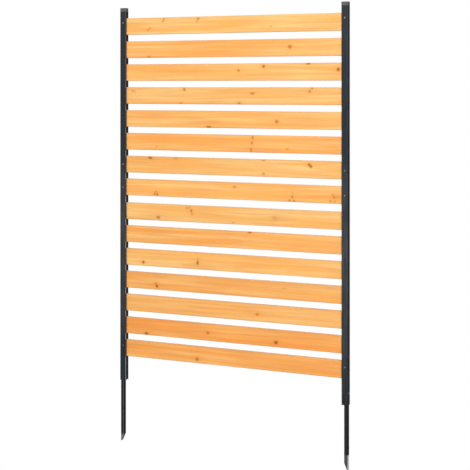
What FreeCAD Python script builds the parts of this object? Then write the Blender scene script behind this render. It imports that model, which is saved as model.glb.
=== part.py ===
"""Garden privacy screen: pine slats held between two channel posts on ground stakes.

X runs along the screen, Y through its depth (the front, with the screw heads, faces -Y)
and Z is up. The origin lies midway between the posts, in the middle of their depth, at
the height of their lower ends: the ground line. The stakes reach below it into the soil.

Each post is a lipped steel channel that opens towards the other post. The slat ends stand
in it one above the other, held apart by plastic spacers, and three of them are screwed.
"""

import FreeCAD, Part
import Sketcher
import math
import os

SLAT_COUNT = 15

# Driving dimensions in millimetres.
SIZES = {
    "screen_width": 1000.0,        # outside to outside of the posts
    "post_width": 28.0,            # along the screen
    "sheet": 1.5,                  # wall of the channel
    "lip_depth": 5.0,              # how far each lip stands in from its flange's face
    "lip_radius": 2.5,             # outside bend between a flange and its lip
    "web_radius": 1.5,             # outside bend between the web and a flange
    "foot_clearance": 101.0,       # from the ground line to the lowest slat
    "head_clearance": 27.5,        # from the top slat to the top of the channel
    "slat_height": 70.0,
    "slat_thickness": 11.0,
    "slat_edge_radius": 2.5,       # planed rounding of the long edges
    "slat_side_gap": 0.5,          # slat face to lip
    "slat_end_gap": 1.0,           # slat end to web
    "spacer_height": 25.6,
    "spacer_reach": 16.0,          # from the web towards the mouth of the channel
    "spacer_wall": 1.6,
    "spacer_bevel": 0.8,
    "spacer_side_gap": 0.3,
    "slack_below_top_slat": 1.6,   # what the stack of loose slats leaves free
    "slack_below_middle_slat": 4.0,
    "stake_projection": 255.0,     # below the ground line
    "stake_wall": 1.5,
    "stake_corner_radius": 2.0,
    "stake_side_gap": 1.5,         # stake to flange
    "stake_web_gap": 0.3,          # stake to web
    "stake_top_gap": 11.0,         # top of the stake to the lowest slat
    "tip_height": 32.0,            # rise of the slanting cut across the stake
    "tip_flat": 2.0,               # blunt width left at the point
    "cap_height": 15.0,
    "cap_bevel": 1.2,              # softens the upper edge
    "spigot_length": 18.0,
    "spigot_reach": 16.0,
    "spigot_wall": 1.8,
    "spigot_gap": 0.3,             # spigot to the walls of the channel
    "screw_head_radius": 3.5,
    "screw_head_height": 2.4,
    "screw_crown": 1.2,            # rounding of the head's rim
    "recess_span": 4.4,            # the cross recess, from arm to arm
    "recess_slot": 1.1,            # width of an arm
    "recess_depth": 1.5,
    "screw_shank_radius": 1.75,
    "screw_point": 3.0,
    "slat_screw_length": 13.0,     # under the head
    "stake_screw_length": 8.0,
    "stake_screw_height": 44.0,    # above the ground line
    "drilled_gap": 0.25,           # shank to the hole that it passes through freely
    "bitten_gap": 0.05,            # shank to the hole that it bites into
    "screw_rise_top": 14.0,        # screw above the middle of its slat
    "screw_rise_middle": -2.5,
    "screw_rise_bottom": 9.0,
}

# The screwed slats, counted from the top, and the rise of their screws.
SCREWED = {
    1: "Sizes.screw_rise_top",
    (SLAT_COUNT + 1) // 2: "Sizes.screw_rise_middle",
    SLAT_COUNT: "Sizes.screw_rise_bottom",
}
MIDDLE_SLAT = (SLAT_COUNT + 1) // 2

# What follows from the driving dimensions.
MOUTH = "(Sizes.slat_thickness + 2 * Sizes.slat_side_gap)"
POST_DEPTH = f"({MOUTH} + 2 * Sizes.lip_depth)"
INNER_DEPTH = f"({POST_DEPTH} - 2 * Sizes.sheet)"
FLANGE_TO_SLAT = "(Sizes.lip_depth + Sizes.slat_side_gap - Sizes.sheet)"
SLAT_LENGTH = "(Sizes.screen_width - 2 * Sizes.sheet - 2 * Sizes.slat_end_gap)"
SLACK = "(Sizes.slack_below_top_slat + Sizes.slack_below_middle_slat)"
PITCH = "(Sizes.slat_height + Sizes.spacer_height)"
STACK = f"({SLAT_COUNT - 1} * {PITCH} + Sizes.slat_height + {SLACK})"
POST_LENGTH = f"(Sizes.foot_clearance + {STACK} + Sizes.head_clearance)"
STAKE_SIDE = f"({INNER_DEPTH} - 2 * Sizes.stake_side_gap)"
STAKE_INSERT = "(Sizes.foot_clearance - Sizes.stake_top_gap)"
SPACER_DEPTH = f"({INNER_DEPTH} - 2 * Sizes.spacer_side_gap)"
SCREW_INSET = "(Sizes.post_width / 2)"

# Limits that keep a rounding or a cut sound when a size changes.
LEAST_BEND = "(0.1 * Sizes.sheet)"
LIP_RADIUS = "min(Sizes.lip_radius; Sizes.lip_depth - 0.2 * Sizes.sheet)"
SHARE = 0.45           # the most of a thickness or height that one edge's rounding takes
PAST_THE_STAKE = 1.2   # how far the slanting cut runs, in widths of the stake
ROUND_HALFWAY = 1 - math.sqrt(0.5)   # how far a quarter round stands in at its middle

doc = FreeCAD.newDocument("garden_privacy_screen")
sheet = doc.addObject("Spreadsheet::Sheet", "Sizes")
for row, (alias, size) in enumerate(SIZES.items(), start=1):
    sheet.set(f"A{row}", alias)
    sheet.set(f"B{row}", str(size))
    sheet.setAlias(f"B{row}", alias)
doc.recompute()

sub_parts = []


def value(expression):
    """The number that an expression in the sheet's sizes comes to."""
    return float(sheet.evalExpression(str(expression)))


def slat_foot(number):
    """Height of the lower edge of a slat, counted from the top, as an expression."""
    below = SLAT_COUNT - number
    foot = f"Sizes.foot_clearance + {below} * {PITCH}"
    if number <= MIDDLE_SLAT:
        foot += " + Sizes.slack_below_middle_slat"
    if number == 1:
        foot += " + Sizes.slack_below_top_slat"
    return f"({foot})"


def screw_height(number):
    """Height of the screws of a screwed slat."""
    return f"({slat_foot(number)} + Sizes.slat_height / 2 + {SCREWED[number]})"


# ---------------------------------------------------------------- sketches and features


def new_body(label):
    body = doc.addObject("PartDesign::Body", label)
    body.Label = label
    return body


def new_sketch(body, name, plane):
    """An empty sketch on one of the body's own origin planes."""
    sketch = body.newObject("Sketcher::SketchObject", f"{body.Name}_{name}")
    support = next(f for f in body.Origin.OriginFeatures if f.Role == plane)
    sketch.AttachmentSupport = (support, [""])
    sketch.MapMode = "FlatFace"
    return sketch


def pin_point(sketch, geometry, point, name, x, y):
    """Ties a point of the sketch to the sheet, or to an axis where it lies on one."""
    for kind, axis, place in (("DistanceX", -2, x), ("DistanceY", -1, y)):
        if place == 0:
            sketch.addConstraint(Sketcher.Constraint("PointOnObject", geometry, point, axis))
            continue
        number = sketch.addConstraint(
            Sketcher.Constraint(kind, -1, 1, geometry, point, value(place))
        )
        label = f"{name}_{kind[-1].lower()}"
        sketch.renameConstraint(number, label)
        sketch.setExpression(f"Constraints.{label}", place)


def outline(body, name, plane, corners):
    """A closed outline of straight lines through corners given as expressions."""
    sketch = new_sketch(body, name, plane)
    points = [FreeCAD.Vector(value(x), value(y), 0) for x, y in corners]
    count = len(points)
    for i in range(count):
        sketch.addGeometry(Part.LineSegment(points[i], points[(i + 1) % count]), False)
    for i in range(count):
        sketch.addConstraint(Sketcher.Constraint("Coincident", i, 2, (i + 1) % count, 1))
    for i, (x, y) in enumerate(corners):
        pin_point(sketch, i, 1, f"corner{i}", x, y)
    return sketch


def rectangle(body, name, plane, left, low, right, high):
    corners = [(left, low), (right, low), (right, high), (left, high)]
    return outline(body, name, plane, corners)


def circles(body, name, plane, centres, radius):
    """Equal circles round centres given as expressions."""
    sketch = new_sketch(body, name, plane)
    upward = FreeCAD.Vector(0, 0, 1)
    for i, (x, y) in enumerate(centres):
        centre = FreeCAD.Vector(value(x), value(y), 0)
        sketch.addGeometry(Part.Circle(centre, upward, value(radius)), False)
        pin_point(sketch, i, 3, f"centre{i}", x, y)
        number = sketch.addConstraint(Sketcher.Constraint("Radius", i, value(radius)))
        sketch.renameConstraint(number, f"radius{i}")
        sketch.setExpression(f"Constraints.radius{i}", radius)
    return sketch


def add_feature(body, kind, name, profile=None, **settings):
    """Adds a feature to the body. Settings given as text are bound to the sheet."""
    feature = body.newObject(f"PartDesign::{kind}", f"{body.Name}_{name}")
    if profile is not None:
        feature.Profile = profile
        profile.Visibility = False
    for setting, given in settings.items():
        if isinstance(given, str):
            feature.setExpression(setting, given)
        else:
            setattr(feature, setting, given)
    body.Tip = feature
    doc.recompute()
    return feature


def pad(body, name, profile, length, **settings):
    return add_feature(body, "Pad", name, profile, Length=length, **settings)


def pocket(body, name, profile, length, **settings):
    """Cuts the profile out, and stops the build if that takes nothing away."""
    before = body.Shape.Volume
    feature = add_feature(body, "Pocket", name, profile, Length=length, **settings)
    if not body.Shape.Volume < before:
        raise RuntimeError(f"{body.Label}: {name} cuts nothing")
    return feature


def dress(body, kind, name, size, chosen):
    """Rounds or bevels the edges of the body's last feature that chosen(edge) picks."""
    base = body.Tip
    names = [f"Edge{i}" for i, edge in enumerate(base.Shape.Edges, start=1) if chosen(edge)]
    if not names:
        raise RuntimeError(f"{body.Label}: {name} finds no edge")
    feature = body.newObject(f"PartDesign::{kind}", f"{body.Name}_{name}")
    feature.Base = (base, names)
    feature.setExpression("Radius" if kind == "Fillet" else "Size", size)
    body.Tip = feature
    doc.recompute()
    return feature


def fillet(body, name, radius, chosen):
    return dress(body, "Fillet", name, radius, chosen)


def bevel(body, name, size, chosen):
    return dress(body, "Chamfer", name, size, chosen)


def upright_at(*spots):
    """Picks the vertical edges that stand at the given (x, y) spots."""
    places = [(value(x), value(y)) for x, y in spots]

    def chosen(edge):
        if len(edge.Vertexes) != 2:
            return False
        start, end = (vertex.Point for vertex in edge.Vertexes)
        vertical = (start - end).Length - abs(start.z - end.z) < 1e-6
        return vertical and any(
            abs(start.x - x) < 1e-4 and abs(start.y - y) < 1e-4 for x, y in places
        )

    return chosen


def at_height(height):
    """Picks the edges that lie level at the given height."""
    level = value(height)
    return lambda edge: all(abs(vertex.Z - level) < 1e-4 for vertex in edge.Vertexes)


def place(part, x, y, z, half_turn=False):
    """Puts a part at a place given as expressions, turned round Z where it is on the right."""
    turn = FreeCAD.Rotation(FreeCAD.Vector(0, 0, 1), 180 if half_turn else 0)
    part.Placement = FreeCAD.Placement(FreeCAD.Vector(0, 0, 0), turn)
    for axis, where in (("x", x), ("y", y), ("z", z)):
        part.setExpression(f"Placement.Base.{axis}", where)


def place_in_post(part, side, from_web, from_front, z):
    """Places a part by its distance from the outer face of its post's web and flange.

    A part is drawn for the left post, where its +X points to the mouth of the channel.
    On the right the same part is turned half round.
    """
    sign = "-" if side == "left" else ""
    opposite = "+" if side == "left" else "-"
    x = f"{sign}(Sizes.screen_width / 2) {opposite} {from_web}"
    y = f"{sign}({POST_DEPTH} / 2) {opposite} {from_front}"
    place(part, x, y, z, half_turn=side == "right")


# ---------------------------------------------------------------------------- the pieces


def make_post(side):
    """The lipped channel, with its web at x = 0 and its mouth at the far side.

    The half turn of the right post brings its far flange to the front, so its slat
    screws are drilled through that one.
    """
    body = new_body(f"{side}_post")
    width = "Sizes.post_width"
    mouth_low = "Sizes.lip_depth"
    mouth_high = f"{POST_DEPTH} - Sizes.lip_depth"
    inner_x = "Sizes.sheet"
    inner_far = "Sizes.post_width - Sizes.sheet"
    inner_high = f"{POST_DEPTH} - Sizes.sheet"

    pad(body, "bar", rectangle(body, "outside", "XY_Plane", 0, 0, width, POST_DEPTH),
        POST_LENGTH)
    inside = rectangle(body, "inside", "XY_Plane", inner_x, inner_x, inner_far, inner_high)
    pocket(body, "hollow", inside, POST_LENGTH, Reversed=True)
    gap = rectangle(body, "gap", "XY_Plane", inner_far, mouth_low, width, mouth_high)
    pocket(body, "mouth", gap, POST_LENGTH, Reversed=True)

    # The bends keep the sheet's thickness: inside radius = outside radius - sheet.
    lip_inside = f"max({LIP_RADIUS} - Sizes.sheet; {LEAST_BEND})"
    web_inside = f"max(Sizes.web_radius - Sizes.sheet; {LEAST_BEND})"
    fillet(body, "lip_bends", LIP_RADIUS, upright_at((width, 0), (width, POST_DEPTH)))
    fillet(body, "lip_insides", lip_inside,
           upright_at((inner_far, inner_x), (inner_far, inner_high)))
    fillet(body, "web_bends", "Sizes.web_radius", upright_at((0, 0), (0, POST_DEPTH)))
    fillet(body, "web_insides", web_inside,
           upright_at((inner_x, inner_x), (inner_x, inner_high)))

    screw_hole = "Sizes.screw_shank_radius + Sizes.drilled_gap"
    centres = [(SCREW_INSET, screw_height(number)) for number in SCREWED]
    holes = circles(body, "slat_holes", "XZ_Plane", centres, screw_hole)
    if side == "right":
        holes.setExpression("AttachmentOffset.Base.z", f"-{POST_DEPTH}")
    pocket(body, "slat_screw_holes", holes, "Sizes.sheet", Reversed=side == "right")
    stake_hole = circles(body, "stake_hole", "YZ_Plane",
                         [(f"{POST_DEPTH} / 2", "Sizes.stake_screw_height")], screw_hole)
    pocket(body, "stake_screw_hole", stake_hole, "Sizes.sheet", Reversed=True)

    place_in_post(body, side, "0", "0", "0")
    sub_parts.append(body)


def make_slat(number):
    """One slat along X, with its front lower edge on the X axis.

    The screwed slats have a blind hole near each end.
    """
    body = new_body(f"slat_{number:02d}")
    section = rectangle(body, "section", "YZ_Plane", 0, 0,
                        "Sizes.slat_thickness", "Sizes.slat_height")
    pad(body, "board", section, SLAT_LENGTH, Midplane=True)
    along_x = FreeCAD.Vector(1, 0, 0)
    fillet(body, "rounding", f"min(Sizes.slat_edge_radius; {SHARE} * Sizes.slat_thickness)",
           lambda edge: abs(edge.tangentAt(edge.FirstParameter).dot(along_x)) > 0.999)

    if number in SCREWED:
        across = f"(Sizes.screen_width / 2 - {SCREW_INSET})"
        up = f"(Sizes.slat_height / 2 + {SCREWED[number]})"
        radius = "Sizes.screw_shank_radius + Sizes.bitten_gap"
        holes = circles(body, "hole_centres", "XZ_Plane",
                        [(f"-{across}", up), (across, up)], radius)
        depth = f"Sizes.slat_screw_length - Sizes.sheet - {FLANGE_TO_SLAT} + Sizes.drilled_gap"
        pocket(body, "screw_holes", holes, depth)

    place(body, "0", "-Sizes.slat_thickness / 2", slat_foot(number))
    sub_parts.append(body)


def make_spacer(side, number):
    """The plastic sleeve that stands in a channel on the slat below it."""
    body = new_body(f"{side}_spacer_{number:02d}")
    reach = "Sizes.spacer_reach"
    wall = "Sizes.spacer_wall"
    outside = rectangle(body, "outside", "XY_Plane", 0, 0, reach, SPACER_DEPTH)
    pad(body, "block", outside, "Sizes.spacer_height")
    inside = rectangle(body, "inside", "XY_Plane", wall, wall,
                       f"{reach} - {wall}", f"{SPACER_DEPTH} - {wall}")
    pocket(body, "hollow", inside, "Sizes.spacer_height", Reversed=True)
    bevel(body, "corners", "Sizes.spacer_bevel",
          upright_at((0, 0), (0, SPACER_DEPTH), (reach, 0), (reach, SPACER_DEPTH)))
    from_web = "(Sizes.sheet + Sizes.spacer_side_gap)"
    place_in_post(body, side, from_web, from_web,
                  f"{slat_foot(number + 1)} + Sizes.slat_height")
    sub_parts.append(body)


def make_stake(side):
    """The square tube in the foot of a post, cut to a slanting point on its outer side."""
    body = new_body(f"{side}_stake")
    length = f"(Sizes.stake_projection + {STAKE_INSERT})"
    wall = "Sizes.stake_wall"
    far = f"({STAKE_SIDE} - {wall})"
    pad(body, "bar", rectangle(body, "outside", "XY_Plane", 0, 0, STAKE_SIDE, STAKE_SIDE),
        length)
    fillet(body, "corners", "Sizes.stake_corner_radius",
           upright_at((0, 0), (0, STAKE_SIDE), (STAKE_SIDE, 0), (STAKE_SIDE, STAKE_SIDE)))
    bore = rectangle(body, "inside", "XY_Plane", wall, wall, far, far)
    pocket(body, "bore", bore, length, Reversed=True)
    fillet(body, "bore_corners",
           f"max(Sizes.stake_corner_radius - Sizes.stake_wall; {LEAST_BEND})",
           upright_at((wall, wall), (wall, far), (far, wall), (far, far)))

    past = f"({PAST_THE_STAKE} * {STAKE_SIDE})"
    rise = f"(Sizes.tip_height * ({past} - Sizes.tip_flat) / ({STAKE_SIDE} - Sizes.tip_flat))"
    slant = outline(body, "slant", "XZ_Plane",
                    [("Sizes.tip_flat", 0), (past, 0), (past, rise)])
    pocket(body, "point", slant, STAKE_SIDE)

    hole = circles(body, "hole_centre", "YZ_Plane",
                   [(f"{STAKE_SIDE} / 2", "Sizes.stake_projection + Sizes.stake_screw_height")],
                   "Sizes.screw_shank_radius + Sizes.bitten_gap")
    pocket(body, "screw_hole", hole, wall, Reversed=True)
    place_in_post(body, side, "(Sizes.sheet + Sizes.stake_web_gap)",
                  "(Sizes.sheet + Sizes.stake_side_gap)", "-Sizes.stake_projection")
    sub_parts.append(body)


def make_cap(side):
    """The plastic cap that closes a post: a rounded head over a hollow spigot."""
    body = new_body(f"{side}_cap")
    width = "Sizes.post_width"
    head = rectangle(body, "head_outline", "XY_Plane", 0, 0, width, POST_DEPTH)
    pad(body, "head", head, "Sizes.cap_height")
    fillet(body, "mouth_corners", LIP_RADIUS, upright_at((width, 0), (width, POST_DEPTH)))
    fillet(body, "web_corners", "Sizes.web_radius", upright_at((0, 0), (0, POST_DEPTH)))
    tightest = f"min({LIP_RADIUS}; Sizes.web_radius)"
    bevel(body, "top_edge",
          f"min(Sizes.cap_bevel; {SHARE} * Sizes.cap_height; 2 * {SHARE} * {tightest})",
          at_height("Sizes.cap_height"))

    low = "(Sizes.sheet + Sizes.spigot_gap)"
    high = f"({POST_DEPTH} - {low})"
    reach = f"({low} + Sizes.spigot_reach)"
    wall = "Sizes.spigot_wall"
    stem = rectangle(body, "spigot_outline", "XY_Plane", low, low, reach, high)
    pad(body, "spigot", stem, "Sizes.spigot_length", Reversed=True)
    bore = rectangle(body, "spigot_inside", "XY_Plane", f"{low} + {wall}", f"{low} + {wall}",
                     f"{reach} - {wall}", f"{high} - {wall}")
    bore.setExpression("AttachmentOffset.Base.z", "-Sizes.spigot_length")
    pocket(body, "spigot_bore", bore, "Sizes.spigot_length", Reversed=True)
    place_in_post(body, side, "0", "0", POST_LENGTH)
    sub_parts.append(body)


def make_screw(name, length, quarter_turns):
    """A pan-head screw with a cross recess. It points along +Y, or X after a quarter turn."""
    body = new_body(name)
    head = "Sizes.screw_head_height"
    rim = "Sizes.screw_head_radius"
    shank = "Sizes.screw_shank_radius"
    crown = f"min(Sizes.screw_crown; 2 * {SHARE} * {head})"
    halfway = f"{ROUND_HALFWAY} * {crown}"
    tip = f"({head} + {length})"
    profile = outline(body, "profile", "XY_Plane", [
        (0, 0),
        (f"{rim} - {crown}", 0),
        (f"{rim} - {halfway}", halfway),
        (rim, crown),
        (rim, head),
        (shank, head),
        (shank, f"{tip} - Sizes.screw_point"),
        (0, tip),
    ])
    add_feature(body, "Revolution", "turned", profile,
                ReferenceAxis=(profile, ["V_Axis"]), Angle=360.0)

    arm = "(Sizes.recess_span / 2)"
    slot = "(Sizes.recess_slot / 2)"
    quarter = [(arm, slot), (slot, slot), (slot, arm)]
    turns = [("", "", False), ("-", "", True), ("-", "-", False), ("", "-", True)]
    corners = []
    for sign_x, sign_y, backwards in turns:
        run = reversed(quarter) if backwards else quarter
        corners += [(f"{sign_x}{x}", f"{sign_y}{y}") for x, y in run]
    cross = outline(body, "cross", "XZ_Plane", corners)
    pocket(body, "recess", cross, f"min(Sizes.recess_depth; 2 * {SHARE} * {head})")
    body.Placement = FreeCAD.Placement(
        FreeCAD.Vector(0, 0, 0),
        FreeCAD.Rotation(FreeCAD.Vector(0, 0, 1), -90 * quarter_turns),
    )
    return body


def make_slat_screws(side):
    """The three screws through the front flange of a post, as one group."""
    sign = "-" if side == "left" else ""
    opposite = "+" if side == "left" else "-"
    screws = []
    for number in SCREWED:
        screw = make_screw(f"{side}_screw_slat_{number:02d}", "Sizes.slat_screw_length", 0)
        screw.setExpression("Placement.Base.x",
                            f"{sign}Sizes.screen_width / 2 {opposite} {SCREW_INSET}")
        screw.setExpression("Placement.Base.y",
                            f"-{POST_DEPTH} / 2 - Sizes.screw_head_height")
        screw.setExpression("Placement.Base.z", screw_height(number))
        screws.append(screw)
    group = doc.addObject("Part::Compound", f"{side}_slat_screws")
    group.Label = f"{side}_slat_screws"
    group.Links = screws
    sub_parts.append(group)


def make_stake_screw(side):
    """The screw through the web of a post into its stake."""
    turns = 1 if side == "left" else -1
    screw = make_screw(f"{side}_stake_screw", "Sizes.stake_screw_length", turns)
    outward = "-" if side == "left" else ""
    screw.setExpression("Placement.Base.x",
                        f"{outward}(Sizes.screen_width / 2 + Sizes.screw_head_height)")
    screw.setExpression("Placement.Base.z", "Sizes.stake_screw_height")
    sub_parts.append(screw)


# ------------------------------------------------------------------------- the assembly

for side in ("left", "right"):
    make_post(side)
    make_stake(side)
    make_cap(side)
    make_slat_screws(side)
    make_stake_screw(side)
    for number in range(1, SLAT_COUNT):
        make_spacer(side, number)
for number in range(1, SLAT_COUNT + 1):
    make_slat(number)
doc.recompute()

for thing in doc.Objects:
    if "Invalid" in thing.State or "Error" in thing.State:
        raise RuntimeError(f"{thing.Label} failed: {thing.State}")
for part in sub_parts:
    if part.Shape.isNull() or not part.Shape.isValid():
        raise RuntimeError(f"{part.Label} has no sound shape")

os.makedirs("parts", exist_ok=True)
for part in sub_parts:
    part.Shape.exportStep(f"parts/{part.Label}.step")
print(f"{len(sub_parts)} sub-parts written")
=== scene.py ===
"""Looks for the garden privacy screen: stained pine slats between coated steel posts.

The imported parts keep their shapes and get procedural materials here. Two screw heads are
added to them. Around them stand a white floor, soft studio lights and the camera.
Everything is in metres: X along the screen, -Y towards the viewer, Z up, with the ground
line at zero.
"""

import math
import random

import bmesh
import bpy
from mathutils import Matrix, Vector


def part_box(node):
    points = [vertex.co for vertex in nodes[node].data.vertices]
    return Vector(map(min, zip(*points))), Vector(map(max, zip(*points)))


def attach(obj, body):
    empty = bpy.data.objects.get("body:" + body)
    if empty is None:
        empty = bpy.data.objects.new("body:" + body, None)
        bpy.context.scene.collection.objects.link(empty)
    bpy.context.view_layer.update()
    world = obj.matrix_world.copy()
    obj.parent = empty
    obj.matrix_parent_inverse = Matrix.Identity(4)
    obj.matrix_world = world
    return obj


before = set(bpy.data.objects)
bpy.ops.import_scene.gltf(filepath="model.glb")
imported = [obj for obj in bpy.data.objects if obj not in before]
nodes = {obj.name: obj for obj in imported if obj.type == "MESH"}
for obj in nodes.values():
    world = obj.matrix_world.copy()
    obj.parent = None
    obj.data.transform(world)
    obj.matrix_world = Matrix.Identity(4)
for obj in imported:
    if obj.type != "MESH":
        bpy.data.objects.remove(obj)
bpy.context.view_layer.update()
SLAT_COUNT = 15
MILLIMETRE = 1 / 1000


# ------------------------------------------------------------------------- node building

MOST = (0.3, 0.7)       # most of a noise's values lie between these
GRAIN_BUMP = 0.5        # how strongly a fine grain turns the surface


class Graph:
    """Short calls for the nodes of one material or node group."""

    def __init__(self, tree):
        self.tree = tree
        self.tree.nodes.clear()

    def link(self, given, socket):
        """Joins an output to a socket, or sets the socket to a plain value."""
        if isinstance(given, bpy.types.NodeSocket):
            self.tree.links.new(given, socket)
        elif isinstance(given, (tuple, list)) and len(given) == 3 and socket.type == "RGBA":
            socket.default_value = (*given, 1)
        else:
            socket.default_value = given

    def add(self, kind, settings=(), **inputs):
        """A new node. The inputs are named like its sockets, with _ for a space."""
        node = self.tree.nodes.new(kind)
        for name, setting in dict(settings).items():
            setattr(node, name, setting)
        for name, given in inputs.items():
            self.link(given, node.inputs[name.replace("_", " ")])
        return node

    def math(self, operation, *given):
        node = self.add("ShaderNodeMath", {"operation": operation})
        for socket, number in zip(node.inputs, given):
            self.link(number, socket)
        return node.outputs[0]

    def product(self, first, *others):
        """All the given values multiplied."""
        for other in others:
            first = self.math("MULTIPLY", first, other)
        return first

    def vector(self, x, y, z):
        return self.add("ShaderNodeCombineXYZ", X=x, Y=y, Z=z).outputs[0]

    def scaled(self, vector, factor):
        node = self.add("ShaderNodeVectorMath", {"operation": "SCALE"})
        self.link(vector, node.inputs[0])
        self.link(factor, node.inputs["Scale"])
        return node.outputs[0]

    def noise(self, vector, scale=1.0, detail=2.0, roughness=0.5):
        return self.add("ShaderNodeTexNoise", Vector=vector, Scale=scale, Detail=detail,
                        Roughness=roughness).outputs["Fac"]

    def drawn_noise(self, at, rates, start=(0.0, 0.0, 0.0), detail=2.0, roughness=0.5):
        """Noise that changes at its own rate per metre along each axis, from start."""
        axes = [self.math("MULTIPLY_ADD", along, rate, first)
                for along, rate, first in zip(at, rates, start)]
        return self.noise(self.vector(*axes), 1.0, detail, roughness)

    def spread(self, value, low, high, to_low=0.0, to_high=1.0, smooth=False):
        """Maps low..high to to_low..to_high and holds it between them."""
        kind = "SMOOTHSTEP" if smooth else "LINEAR"
        node = self.add("ShaderNodeMapRange", {"interpolation_type": kind})
        for name, given in (("Value", value), ("From Min", low), ("From Max", high),
                            ("To Min", to_low), ("To Max", to_high)):
            self.link(given, node.inputs[name])
        return node.outputs["Result"]

    def blend(self, factor, first, second):
        """A mix of two colours, from the first at 0 to the second at 1."""
        node = self.add("ShaderNodeMix", {"data_type": "RGBA"})
        factor_socket, first_socket, second_socket = (node.inputs[n] for n in (0, 6, 7))
        self.link(factor, factor_socket)
        self.link(first, first_socket)
        self.link(second, second_socket)
        return node.outputs[2]

    def bump(self, height, distance, strength=GRAIN_BUMP):
        return self.add("ShaderNodeBump", Height=height, Distance=distance,
                        Strength=strength).outputs["Normal"]

    def place(self):
        """The place in the row's frame."""
        return self.add("ShaderNodeTexCoord").outputs["Object"]

    def place_and_axes(self):
        """The place in the row's frame, as a vector and as X, Y and Z."""
        place = self.place()
        x, y, z = self.add("ShaderNodeSeparateXYZ", Vector=place).outputs
        return place, x, y, z


def new_material(name, build):
    """A material whose Principled shader gets the inputs that build(graph) returns."""
    material = bpy.data.materials.new(name)
    material.use_nodes = True
    graph = Graph(material.node_tree)
    shader = graph.add("ShaderNodeBsdfPrincipled")
    output = graph.add("ShaderNodeOutputMaterial")
    graph.link(shader.outputs[0], output.inputs["Surface"])
    for socket, given in build(graph).items():
        graph.link(given, shader.inputs[socket])
    return material


def dress(node, material):
    """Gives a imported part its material."""
    mesh = nodes[node].data
    mesh.materials.clear()
    mesh.materials.append(material)


# ------------------------------------------------------------------------------ the knots

# Knots read off the photograph, by slat from the top. Each is: millimetres along the
# slat from its middle, millimetres above its lower edge, radius in millimetres,
# darkness, and how many times longer than high.
KNOTS = {
    1: [(-298, 61, 5, 0.6, 0.8), (-303, 52, 4.5, 0.45, 1.0), (-141, 60, 5, 0.65, 1.1),
        (-146, 50, 5, 0.45, 0.8), (-372, 19, 4, 0.55, 1.1), (-362, 25, 4, 0.4, 1.5),
        (178, 22, 5, 0.3, 0.9)],
    2: [(258, 38, 8, 0.7, 0.9), (-367, 4, 4, 0.6, 1.6)],
    3: [(38, 41, 5, 0.6, 1.4), (146, 57, 6, 0.8, 1.1), (335, 67, 5, 0.8, 1.8),
        (458, 43, 7, 0.9, 1.0)],
    4: [(-444, 55, 7, 0.45, 0.5), (-434, 52, 6, 0.35, 0.6), (-204, 60, 7, 0.65, 0.9),
        (98, 45, 5, 0.6, 2.2), (341, 54, 7, 0.55, 0.7), (351, 66, 4.5, 0.6, 0.9),
        (-219, 4, 4, 0.5, 1.2), (40, 5, 5, 0.65, 1.4)],
    5: [(202, 29, 8, 0.6, 0.9), (-94, 4, 5, 0.8, 2.2)],
    6: [(99, 60, 8, 0.5, 0.6), (96, 38, 7, 0.55, 0.6), (92, 10, 8, 0.5, 0.7),
        (-332, 15, 4, 0.3, 1.1), (247, 17, 5, 0.3, 1.3)],
    7: [(-361, 64, 6, 0.9, 1.6), (-242, 64, 4, 0.45, 1.6), (146, 65, 4, 0.45, 1.8),
        (339, 53, 6, 0.8, 1.2), (346, 47, 6, 0.85, 0.9),
        (146, 12, 7, 0.45, 0.9)],
    8: [(20, 52, 5, 0.45, 1.7), (-340, 11, 6, 0.75, 0.6), (-328, 9, 6, 0.75, 0.7),
        (-334, 19, 4, 0.5, 1.5), (269, 36, 6, 0.35, 0.5), (268, 20, 7, 0.6, 0.6),
        (257, 7, 5, 0.55, 1.0), (275, 6, 5, 0.5, 1.0), (436, 35, 5, 0.35, 0.6),
        (441, 25, 6, 0.55, 0.8), (425, 10, 5, 0.5, 0.9), (443, 9, 5, 0.45, 0.7),
        (456, 27, 7, 0.2, 1.3)],
    9: [(-192, 58, 6, 0.6, 0.5), (-180, 60, 6, 0.5, 0.5), (-172, 47, 7, 0.7, 0.7),
        (-169, 34, 6, 0.35, 0.8), (-324, 13, 7, 0.7, 1.2), (14, 7, 4, 0.35, 1.2),
        (194, 33, 8, 0.25, 1.5)],
    10: [(87, 67, 5, 0.75, 1.8)],
    11: [(-393, 15, 6, 0.95, 0.9), (-144, 27, 8, 0.9, 0.6), (-144, 40, 5, 0.4, 0.8)],
    12: [(-330, 15, 7, 0.95, 0.8), (-336, 26, 5, 0.4, 1.0), (234, 43, 5, 0.2, 1.2)],
    13: [(119, 29, 5, 0.65, 1.4)],
    14: [(-379, 7, 6, 0.85, 1.4), (-98, 33, 6, 0.55, 1.0), (199, 19, 7, 0.95, 1.1)],
    15: [(-146, 17, 7, 0.65, 1.0)],
}

# Bell curves round a knot: how fast each fades along and across, counted in its radii.
SWING_FADE = (-0.12, -0.3)
RING_FADE = (-0.2, -0.5)
FLARE_FADE = (-0.3, -1.2)
SWING = -0.8                # how far the fibres swing round the knot
FLARE = 0.75                # how dark the flares are beside the ring
CORE_RIM = (1.6, 0.2)       # squared distances where the core starts and where it is full

KNOT_RAG = 220.0            # how fast a knot's outline wanders, per metre
KNOT_RAG_REACH = 0.004


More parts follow.
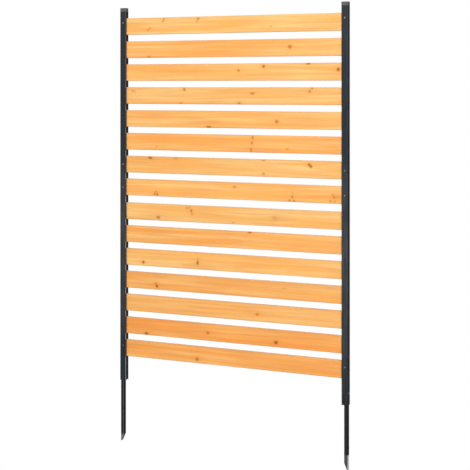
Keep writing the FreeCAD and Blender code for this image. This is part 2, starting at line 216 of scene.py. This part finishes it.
def knot_group():
    """A node group that says how near a knot is, and bends the grain round it."""
    group = bpy.data.node_groups.new("knot", "ShaderNodeTree")
    graph = Graph(group)
    for name in ("X", "Z", "Knot X", "Knot Z", "Radius", "Stretch", "Darkness"):
        group.interface.new_socket(name, in_out="INPUT", socket_type="NodeSocketFloat")
    for name in ("Shift", "Core", "Halo"):
        group.interface.new_socket(name, in_out="OUTPUT", socket_type="NodeSocketFloat")
    given = graph.add("NodeGroupInput").outputs
    aside = graph.math("SUBTRACT", given["X"], given["Knot X"])
    above = graph.math("SUBTRACT", given["Z"], given["Knot Z"])
    length = graph.math("MULTIPLY", given["Radius"], given["Stretch"])
    along = graph.math("DIVIDE", aside, length)
    across = graph.math("DIVIDE", above, given["Radius"])
    along_squared = graph.math("MULTIPLY", along, along)
    across_squared = graph.math("MULTIPLY", across, across)

    def bell(along_term, fade):
        fade_along, fade_across = fade
        return graph.math("EXPONENT", graph.math(
            "MULTIPLY_ADD", along_term, fade_along,
            graph.math("MULTIPLY", across_squared, fade_across)))

    # The fibres swing round a knot over some three times its length.
    pull = graph.math("MULTIPLY", bell(along_squared, SWING_FADE), SWING)
    squared = graph.math("ADD", along_squared, across_squared)
    core = graph.math("MULTIPLY", given["Darkness"],
                      graph.spread(squared, *CORE_RIM, smooth=True))

    # Round the knot lies a darker ring, and dark flares run out along the grain.
    ring = bell(along_squared, RING_FADE)
    flare = bell(graph.math("ABSOLUTE", along), FLARE_FADE)
    halo = graph.math("MAXIMUM", ring, graph.math("MULTIPLY", flare, FLARE))
    output = graph.add("NodeGroupOutput")
    graph.link(graph.math("MULTIPLY", above, pull), output.inputs["Shift"])
    graph.link(core, output.inputs["Core"])
    graph.link(graph.math("MULTIPLY", given["Darkness"], halo), output.inputs["Halo"])
    return group


KNOT = knot_group()


def slat_knots(graph, number, place, x, up, foot):
    """The grain's shift, and the knots' cores and halos.

    Both up, a height, and foot, that of the slat's lower edge, count from mid-slat.
    """
    rag = graph.math("MULTIPLY", graph.math("SUBTRACT", graph.noise(place, KNOT_RAG), 0.5),
                     KNOT_RAG_REACH)
    knot_x = graph.math("ADD", x, rag)
    knot_z = graph.math("ADD", up, rag)
    shift, core, halo = 0.0, 0.0, 0.0
    for along, height, radius, darkness, stretch in KNOTS[number]:
        knot = graph.add("ShaderNodeGroup", {"node_tree": KNOT}, X=knot_x, Z=knot_z,
                         Knot_X=along * MILLIMETRE, Knot_Z=foot + height * MILLIMETRE,
                         Radius=radius * MILLIMETRE, Stretch=stretch, Darkness=darkness)
        shift = graph.math("ADD", shift, knot.outputs["Shift"])
        core = graph.math("MAXIMUM", core, knot.outputs["Core"])
        halo = graph.math("MAXIMUM", halo, knot.outputs["Halo"])
    return shift, core, halo


# ------------------------------------------------------------------------------- the pine

# How deeply the stain took in each slat from the top, from 0, light, to 1, deep.
DEPTHS = (0.05, 0.5, 0.3, 0.15, 0.2, 0.62, 0.12, 0.3, 0.0, 0.5, 0.15, 0.5, 0.38, 0.95, 0.75)
DEEP_STAIN = (1.0, 0.77, 0.55)     # the share of each colour that a deep stain lets back

# The stain on the pale and the amber stretches of early wood, and on late wood.
PALE = (0.645, 0.408, 0.150)
AMBER = (0.645, 0.314, 0.073)
LATE = (0.58, 0.235, 0.05)
EDGE = (0.43, 0.27, 0.14)
KNOT_HALO = (0.54, 0.225, 0.035)
KNOT_CORE = (0.27, 0.095, 0.012)

# How fast each noise changes along, into and up the slat, per metre.
WAVES = (1.8, 1.0, 3.0)
FIBRES = (14.0, 500.0, 1300.0)
STREAKS = (2.4, 30.0, 120.0)
AMBER_STRETCHES = (1.7, 20.0, 42.0)
BLOTCHES = (5.0, 10.0, 20.0)

WAVE_HEIGHT = 0.012
LATE_SHARPNESS = 2.2            # how late in its year the wood turns dark
YEARS = 1.7                     # how fast good and bad years follow each other
BAD_YEAR = 0.2                  # how dark the late wood of a bad year is
AMBER_NOISE = (0.36, 0.6)       # where pale turns to amber
STREAK_NOISE = (0.6, 0.3)       # where a streak starts and where it is full
LATE_SHARE, STREAK_SHARE, HALO_SHARE = 0.4, 0.55, 0.8
DIM, BRIGHT = 0.95, 1.04        # what fibres, and blotches, do to the colour

# The greyer rims of a slat: how far from its edge they start and are full, and how grey.
UPPER_RIM = (0.006, 0.001, 0.75)
LOWER_RIM = (0.005, 0.001, 0.25)

PINE_RELIEF, PINE_BUMP = 0.00018, 0.8       # height of the relief, and its strength


class Log:
    """Where a slat was cut from its own log."""

    def __init__(self, number):
        chance = random.Random(100 + number)
        self.depth = chance.uniform(0.05, 0.12)         # the log's middle, behind the slat
        self.height = chance.uniform(-0.03, 0.03)       # the same, above the slat's middle
        self.taper = chance.uniform(0.004, 0.012) * chance.choice((-1, 1))
        self.ring_width = chance.uniform(0.0024, 0.0036)
        self.slope = chance.uniform(-0.012, 0.012)      # of the grain along the slat
        self.tone = chance.uniform(0.97, 1.02)
        self.start = number * 3.7                       # its own place in every noise


def late_wood(graph, log, x, y, bent):
    """How dark the growth rings make each place: rings lie round the log's middle."""
    across = graph.math("SUBTRACT", bent, log.height)
    into = graph.math("MULTIPLY_ADD", x, log.taper, graph.math("SUBTRACT", y, log.depth))
    radius = graph.math("SQRT", graph.math("MULTIPLY_ADD", across, across,
                                           graph.math("MULTIPLY", into, into)))
    rings = graph.math("DIVIDE", radius, log.ring_width)
    late = graph.math("POWER", graph.math("FRACT", rings), LATE_SHARPNESS)
    year = graph.noise(graph.vector(graph.math("FLOOR", rings), log.start, 0.0), YEARS, 0.0)
    return graph.math("MULTIPLY", late, graph.spread(year, *MOST, BAD_YEAR, 1.0))


def slat_rims(graph, up, half):
    """How grey a place is, near the slat's upper and lower edges."""
    start, full, share = UPPER_RIM
    upper = graph.spread(up, half - start, half - full, 0.0, share)
    start, full, share = LOWER_RIM
    lower = graph.spread(up, start - half, full - half, 0.0, share)
    return graph.math("MAXIMUM", upper, lower)


def pine(number):
    """The material of one slat."""
    low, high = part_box(f"slat_{number:02d}")
    middle = (low.z + high.z) / 2
    half = (high.z - low.z) / 2
    log = Log(number)
    depth = DEPTHS[number - 1]

    def build(graph):
        place, x, y, z = graph.place_and_axes()
        up = graph.math("SUBTRACT", z, middle)
        shift, core, halo = slat_knots(graph, number, place, x, up, low.z - middle)
        wavy = graph.drawn_noise((x, y, z), WAVES, (0.0, 0.0, log.start), detail=3.0)
        wave = graph.math("MULTIPLY", graph.math("SUBTRACT", wavy, 0.5), WAVE_HEIGHT)
        bent = graph.math("ADD", graph.math("MULTIPLY_ADD", x, log.slope, up),
                          graph.math("ADD", shift, wave))
        late = late_wood(graph, log, x, y, bent)

        # Fibres, streaks and amber stretches of the stain, all drawn out along the slat.
        grain = (x, y, bent)
        fine = graph.drawn_noise(grain, FIBRES, detail=3.0, roughness=0.6)
        streak = graph.drawn_noise(grain, STREAKS, (log.start, 0.0, 0.0))
        amber = graph.drawn_noise(grain, AMBER_STRETCHES, (-log.start, 0.0, 0.0),
                                  detail=3.0)
        blotch = graph.drawn_noise((x, y, up), BLOTCHES, (log.start * 2, 0.0, 0.0))
        dim, bright = DIM * log.tone, BRIGHT * log.tone
        light = graph.product(graph.spread(fine, 0.25, 0.75, DIM, BRIGHT),
                              graph.spread(blotch, *MOST, dim, bright))

        wood = graph.blend(graph.spread(amber, *AMBER_NOISE), PALE, AMBER)
        wood = graph.blend(graph.math("MULTIPLY", late, LATE_SHARE), wood, LATE)
        streak_share = graph.spread(streak, *STREAK_NOISE, 0.0, STREAK_SHARE)
        wood = graph.blend(streak_share, wood, LATE)
        wood = graph.blend(slat_rims(graph, up, half), graph.scaled(wood, light), EDGE)
        wood = graph.blend(graph.math("MULTIPLY", halo, HALO_SHARE), wood, KNOT_HALO)
        wood = graph.blend(core, wood, KNOT_CORE)
        stain = graph.add("ShaderNodeVectorMath", {"operation": "MULTIPLY"})
        graph.link(wood, stain.inputs[0])
        stain.inputs[1].default_value = [1 - depth * (1 - share) for share in DEEP_STAIN]

        # Late wood and fibres stand up, and the cores of knots lie lower.
        height = graph.math("MULTIPLY_ADD", late, 0.5, graph.math("MULTIPLY", fine, 0.8))
        height = graph.math("SUBTRACT", height, graph.math("MULTIPLY", core, 0.8))
        return {
            "Base Color": stain.outputs[0],
            "Roughness": graph.spread(fine, 0.2, 0.8, 0.5, 0.64),
            "Specular IOR Level": graph.spread(core, 0.0, 1.0, 0.4, 0.1),
            "Normal": graph.bump(height, PINE_RELIEF, PINE_BUMP),
        }

    return new_material(f"stained_pine_{number:02d}", build)


# ------------------------------------------------------------------------------ the steel

COAT = (0.0056, 0.0088, 0.0128)
DUST = (0.053, 0.052, 0.049)
# The posts' bends rubbed paler, and the painted highlight line on the stakes.
WORN_AND_SHEEN = (0.055, 0.057, 0.062)
# A painted highlight on the mouth's front edge.
LIP_HIGHLIGHT = (0.46, 0.46, 0.47)
ZINC = (0.52, 0.53, 0.54)
STAKE_COAT = (0.006, 0.006, 0.007)

PEEL = 1500.0                       # orange peel of the coats, per metre
UNEVEN = 90.0                       # unevenness of the stakes, per metre
POST_RELIEF, STAKE_RELIEF = 0.00012, 0.0001
STEEL_SPECULAR = 0.3

# How fast each noise changes along X, Y and Z, per metre.
CLOUDS = (60.0, 60.0, 9.0)
RUBS = (200.0, 1.0, 14.0)
SCRATCHES = (900.0, 900.0, 25.0)

# Heights between which the dust thickens downwards and thins out again at the foot, and
# between which the painted highlight on the mouth's front edge grows ever paler downwards.
DUST_TOP = (1.05, 0.7)
DUST_FOOT = (0.1, 0.35)
LIP_HIGHLIGHT_TOP = (1.5, 0.6)

# Places on a post, in from its front face, its outer side or its mouth.
SHADED_SIDE = 0.004
BEND = (0.0024, 0.001)              # where the rubbing starts and is full
FLAT = 0.0002                       # a flat face ends here
LIP_BEND = (0.002, 0.0014)          # how far round the lip's bend the painted highlight lies
LIP_OUTER = (0.0041, 0.0037)        # and the strip that it takes beside the mouth
LIP_INNER = (0.001, 0.0014)
GAP_RIM, FOOT_RIM = 0.02, 0.002     # it starts so far past a slat, in pitches and in metres


def lip_highlight(graph, y, z, reach, front):
    """How bright the painted highlight is on the mouth's front edge, wherever no slat
    covers it: painted light from behind through the gaps and at the foot.
    """
    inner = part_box("right_post")[0].x
    low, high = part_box("slat_15")
    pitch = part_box("slat_14")[0].z - low.z
    covered = (high.z - low.z) / pitch
    above = graph.math("SUBTRACT", z, low.z)
    step = graph.math("FRACT", graph.math("DIVIDE", above, pitch))
    bare = graph.math("MAXIMUM", graph.spread(step, covered, covered + GAP_RIM),
                      graph.spread(z, low.z, low.z - FOOT_RIM))
    ahead = graph.math("MULTIPLY", y, -1.0)
    return graph.product(
        graph.spread(ahead, front, front - FLAT / 2),
        graph.spread(ahead, *(front - depth for depth in LIP_BEND)),
        graph.spread(reach, *(inner + aside for aside in LIP_OUTER)),
        graph.spread(reach, *(inner + aside for aside in LIP_INNER)),
        bare,
        graph.spread(z, *LIP_HIGHLIGHT_TOP, 0.05, 0.95))


def coated_steel(graph):
    """Anthracite powder coat: fine orange peel, dust low down, bends rubbed paler, painted
    shade on the outer sides and a painted highlight on the mouth's front edge.
    """
    place, x, y, z = graph.place_and_axes()
    depth, reach = graph.math("ABSOLUTE", y), graph.math("ABSOLUTE", x)
    front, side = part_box("left_post")[1].y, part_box("right_post")[1].x
    cloud = graph.drawn_noise((x, y, z), CLOUDS, detail=4.0, roughness=0.65)

    # The outer sides get far less of the pale dust: painted shade that darkens them.
    dust = graph.product(graph.spread(cloud, 0.2, 0.8, 0.1, 0.9),
                         graph.spread(z, *DUST_TOP, 0.15, 1.0, smooth=True),
                         graph.spread(z, *DUST_FOOT, 0.5, 1.0, smooth=True),
                         graph.spread(reach, side - SHADED_SIDE, side, 1.0, 0.1))

    # A bend lies between the flats of the front, back and outer side.
    rubbed = graph.drawn_noise((x, y, z), RUBS, detail=4.0, roughness=0.7)
    bend = graph.product(graph.spread(depth, *(front - inward for inward in BEND)),
                         graph.spread(depth, front, front - FLAT),
                         graph.spread(reach, side, side - FLAT))
    worn = graph.math("MULTIPLY", bend, graph.spread(rubbed, 0.35, 0.7, 0.15, 0.8))
    steel = graph.blend(worn, graph.blend(dust, COAT, DUST), WORN_AND_SHEEN)
    return {
        # A painted highlight on the mouth's front edge, where no slat covers it.
        "Base Color": graph.blend(lip_highlight(graph, y, z, reach, front), steel, LIP_HIGHLIGHT),
        "Roughness": graph.spread(cloud, *MOST, 0.28, 0.38),
        "Specular IOR Level": STEEL_SPECULAR,
        "Normal": graph.bump(graph.noise(place, PEEL), POST_RELIEF),
    }


TIP_SIDE = 0.0022       # the strip on the stake's right over which the zinc's painted reflection brightens
SHEEN_LINE = (0.003, 0.0008)   # how far beside its middle the painted highlight line starts and is full


def stake_steel(side, bare_height, edge, dim, bright, sheen_place, sheen_strength):
    """Dark coat that ends in bare zinc bare_height above the point of the stake.

    The zinc is dim on the left of the stake and bright on the right: a painted reflection.
    A painted highlight, a paler line in the coat, runs down the front, as far from the
    stake's left side as the place argument says.
    """
    low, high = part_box(f"{side}_stake")

    def build(graph):
        place, x, y, z = graph.place_and_axes()
        rough = graph.noise(place, UNEVEN, detail=4.0, roughness=0.6)
        scratch = graph.drawn_noise((x, y, z), SCRATCHES, detail=3.0)

        # The line between coat and zinc wanders up and down by half of edge.
        wander = graph.math("MULTIPLY_ADD", rough, -edge, z)
        line = low.z + bare_height - edge / 2
        bare = graph.spread(wander, line + edge / 2, line - edge / 2, smooth=True)
        # A painted reflection: the zinc dark on the left and bright on the right.
        painted_reflection = graph.product(graph.spread(x, high.x - TIP_SIDE, high.x, dim, bright),
                              graph.spread(scratch, *MOST, 0.85, 1.1))
        # A painted highlight: a paler line down the coat's front.
        aside = graph.math("ABSOLUTE", graph.math("SUBTRACT", x, low.x + sheen_place))
        sheen_line = graph.product(graph.spread(aside, *SHEEN_LINE, smooth=True),
                            graph.spread(rough, 0.25, 0.75, sheen_strength / 2, sheen_strength))
        coat = graph.scaled(STAKE_COAT, graph.spread(rough, *MOST, 0.8, 1.3))
        relief = graph.math("ADD", graph.noise(place, PEEL), scratch)
        return {
            "Base Color": graph.blend(bare, graph.blend(sheen_line, coat, WORN_AND_SHEEN),
                                      graph.scaled(ZINC, painted_reflection)),
            "Metallic": graph.math("MULTIPLY", bare, 0.5),
            "Roughness": graph.spread(scratch, *MOST, 0.42, 0.58),
            "Specular IOR Level": STEEL_SPECULAR,
            "Normal": graph.bump(relief, STAKE_RELIEF),
        }

    return build


# ---------------------------------------------------------------- plastic and screw zinc

CAP_TONES = ((0.055, 0.048, 0.047), (0.072, 0.064, 0.062))
SPACER_TONES = ((0.006, 0.006, 0.007), (0.011, 0.011, 0.012))
SCREW_TONES = ((0.18, 0.18, 0.173), (0.29, 0.283, 0.263))
SPARK_RELIEF = 0.00008      # heights of the fine reliefs, in metres
SCREW_RELIEF = 0.00005
SCREW_CLOUDS = 500.0        # how fast the screws' tone changes, per metre


def moulded_plastic(tones, clouds, grain, roughness, specular):
    """Plastic in two close tones with a fine spark-eroded grain.

    Clouds and grain say how fast its tone and its surface change, per metre.
    """

    def build(graph):
        place = graph.place()
        cloud = graph.noise(place, clouds, detail=3.0)
        return {
            "Base Color": graph.blend(graph.spread(cloud, *MOST), *tones),
            "Roughness": graph.spread(cloud, *MOST, *roughness),
            "Specular IOR Level": specular,
            "Normal": graph.bump(graph.noise(place, grain), SPARK_RELIEF),
        }

    return build


def zinc_plate(graph):
    """Dull zinc of the screws."""
    cloud = graph.noise(graph.place(), SCREW_CLOUDS, detail=4.0, roughness=0.6)
    return {
        "Base Color": graph.blend(graph.spread(cloud, *MOST), *SCREW_TONES),
        "Metallic": 1.0,
        "Roughness": graph.spread(cloud, *MOST, 0.4, 0.55),
        "Normal": graph.bump(cloud, SCREW_RELIEF, strength=0.4),
    }


# ------------------------------------------------------------------- dressing the parts

for number in range(1, SLAT_COUNT + 1):
    dress(f"slat_{number:02d}", pine(number))
POST_COAT = new_material("post_coat", coated_steel)
CAP_GREY = new_material("cap_grey", moulded_plastic(
    CAP_TONES, clouds=70.0, grain=2200.0, roughness=(0.5, 0.58), specular=0.4))
SPACER_BLACK = new_material("spacer_black", moulded_plastic(
    SPACER_TONES, clouds=120.0, grain=1800.0, roughness=(0.7, 0.8), specular=0.08))
SCREW_ZINC = new_material("screw_zinc", zinc_plate)
STAKE_ENDS = {
    "left": dict(bare_height=0.026, edge=0.016, dim=0.4, bright=0.4, sheen_place=0.0118,
                 sheen_strength=1.2),
    "right": dict(bare_height=0.061, edge=0.006, dim=0.14, bright=1.65, sheen_place=0.0075,
                  sheen_strength=0.15),
}
for side, stake_end in STAKE_ENDS.items():
    dress(f"{side}_post", POST_COAT)
    dress(f"{side}_cap", CAP_GREY)
    dress(f"{side}_slat_screws", SCREW_ZINC)
    dress(f"{side}_stake_screw", SCREW_ZINC)
    stake_coat = new_material(f"{side}_stake_coat", stake_steel(side, **stake_end))
    dress(f"{side}_stake", stake_coat)
    for number in range(1, SLAT_COUNT):
        dress(f"{side}_spacer_{number:02d}", SPACER_BLACK)


# --------------------------------------------------------------- the seventh slat's screws

SEVENTH_SCREW_LIFT = 0.001      # how much higher on its slat than the eighth slat's screw
SAME_POINT = 1e-6
SHARP_ANGLE = math.radians(35)


def add_seventh_screw(side):
    """A screw head on the post in front of slat 7, like the one in front of slat 8."""
    low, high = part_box("slat_08")
    seventh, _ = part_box("slat_07")
    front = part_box(f"{side}_post")[0].y
    mesh = bpy.data.meshes.new(f"{side}_slat_screw_07")
    shape = bmesh.new()
    shape.from_mesh(nodes[f"{side}_slat_screws"].data)

    # Of the three screws only the eighth slat's stays, and of that one only the head.
    others = [point for point in shape.verts if not low.z < point.co.z < high.z]
    bmesh.ops.delete(shape, geom=others, context="VERTS")
    bmesh.ops.remove_doubles(shape, verts=shape.verts, dist=SAME_POINT)
    bmesh.ops.bisect_plane(shape, geom=[*shape.verts, *shape.edges, *shape.faces],
                           dist=SAME_POINT, plane_co=(0, front, 0), plane_no=(0, 1, 0),
                           clear_outer=True)
    bmesh.ops.holes_fill(shape, edges=[edge for edge in shape.edges if edge.is_boundary])
    bmesh.ops.translate(shape, verts=shape.verts,
                        vec=(0, 0, seventh.z - low.z + SEVENTH_SCREW_LIFT))
    shape.to_mesh(mesh)
    shape.free()
    mesh.polygons.foreach_set("use_smooth", [True] * len(mesh.polygons))
    mesh.set_sharp_from_angle(angle=SHARP_ANGLE)
    mesh.materials.clear()
    mesh.materials.append(SCREW_ZINC)
    head = bpy.data.objects.new(f"{side}_slat_screw_07", mesh)
    bpy.context.collection.objects.link(head)
    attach(head, "root")


for side in STAKE_ENDS:
    add_seventh_screw(side)


# ---------------------------------------------------------------- floor, lights, camera

WHITE = (1.0, 1.0, 1.0)
FLOOR_GREY = (0.5, 0.5, 0.5)
FLOOR_DARK = (0.05, 0.05, 0.05)
BLACK = (0.0, 0.0, 0.0)
FLOOR_REACH = 30.0

# The studio behind the camera and behind the screen, in brightness.
STUDIO_FRONT, STUDIO_BACK = 1.1, 0.6

# What the parts mirror round them: the level direction to a place on the studio's wall,
# the cosines at its rim and where it is full, and its brightness.
WALLS = (
    ((0.26, 0.97, 0.0), 0.90, 0.97, 0.05),     # dark, straight behind
    ((-0.80, 0.60, 0.0), 0.75, 0.93, 0.12),    # dark, behind on the left
)

# Each softbox: its name, its place, what it points at, its width and height, its watts.
SOFTBOXES = (
    ("key", (1.6, -4.4, 2.6), (0, 0, 0.8), 3.2, 3.0, 162),
    ("top", (0, -0.5, 5.0), (0, 0, 0), 5.0, 5.0, 220),
)

# The camera that the photograph was taken with, as fitted to its edges.
CAMERA_PLACE = (1.8984, -4.3251, 1.2302)
CAMERA_TURN = math.radians(23.476)
SENSOR_WIDTH = 36.0
FOCAL_LENGTH = 89.77
WINDOW_SHIFT = -0.3165


def white_floor(graph):
    """White as the backdrop to the eye, grey in the light it returns, dark if mirrored."""
    rays = graph.add("ShaderNodeLightPath").outputs
    lit = graph.blend(rays["Is Glossy Ray"], FLOOR_GREY, FLOOR_DARK)
    return {
        "Base Color": graph.blend(rays["Is Camera Ray"], lit, BLACK),
        "Roughness": 1.0,
        "Specular IOR Level": 0.0,
        "Emission Color": WHITE,
        "Emission Strength": rays["Is Camera Ray"],
    }


def add_floor():
    """A plain white floor at the points of the stakes."""
    mesh = bpy.data.meshes.new("floor")
    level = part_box("left_stake")[0].z
    corners = [(-FLOOR_REACH, -FLOOR_REACH, level), (FLOOR_REACH, -FLOOR_REACH, level),
               (FLOOR_REACH, FLOOR_REACH, level), (-FLOOR_REACH, FLOOR_REACH, level)]
    mesh.from_pydata(corners, [], [(0, 1, 2, 3)])
    floor = bpy.data.objects.new("floor", mesh)
    bpy.context.collection.objects.link(floor)
    mesh.materials.append(new_material("white_floor", white_floor))


def add_softbox(name, place, target, width, height, power):
    light = bpy.data.lights.new(name, "AREA")
    light.shape = "RECTANGLE"
    light.size = width
    light.size_y = height
    light.energy = power
    softbox = bpy.data.objects.new(name, light)
    bpy.context.collection.objects.link(softbox)
    softbox.location = place
    aim = Vector(target) - Vector(place)
    softbox.rotation_euler = aim.to_track_quat("-Z", "Y").to_euler()


def add_world():
    """A white backdrop for the eye, and a studio bright in front and dark behind."""
    world = bpy.data.worlds.new("studio")
    bpy.context.scene.world = world
    world.use_nodes = True
    graph = Graph(world.node_tree)
    direction = graph.add("ShaderNodeTexCoord").outputs["Generated"]
    towards_back = graph.add("ShaderNodeSeparateXYZ", Vector=direction).outputs["Y"]
    studio = graph.spread(towards_back, -0.5, 0.5, STUDIO_FRONT, STUDIO_BACK, smooth=True)
    for towards, rim, full, brightness in WALLS:
        nearness = graph.add("ShaderNodeVectorMath", {"operation": "DOT_PRODUCT"})
        graph.link(direction, nearness.inputs[0])
        nearness.inputs[1].default_value = towards
        studio = graph.spread(nearness.outputs["Value"], rim, full, studio, brightness,
                              smooth=True)
    seen = graph.add("ShaderNodeLightPath").outputs["Is Camera Ray"]
    background = graph.add("ShaderNodeBackground", Color=WHITE,
                           Strength=graph.spread(seen, 0.0, 1.0, studio, 1.0))
    output = graph.add("ShaderNodeOutputWorld")
    graph.link(background.outputs[0], output.inputs["Surface"])


def add_camera():
    """A level camera at the photograph's place, its picture window shifted down."""
    data = bpy.data.cameras.new("camera")
    data.sensor_width = SENSOR_WIDTH
    data.lens = FOCAL_LENGTH
    data.shift_y = WINDOW_SHIFT
    camera = bpy.data.objects.new("camera", data)
    bpy.context.collection.objects.link(camera)
    camera.location = CAMERA_PLACE
    camera.rotation_euler = (math.radians(90), 0, CAMERA_TURN)
    bpy.context.scene.camera = camera


add_floor()
add_world()
for softbox in SOFTBOXES:
    add_softbox(*softbox)
add_camera()
bpy.context.scene.view_settings.view_transform = "Standard"
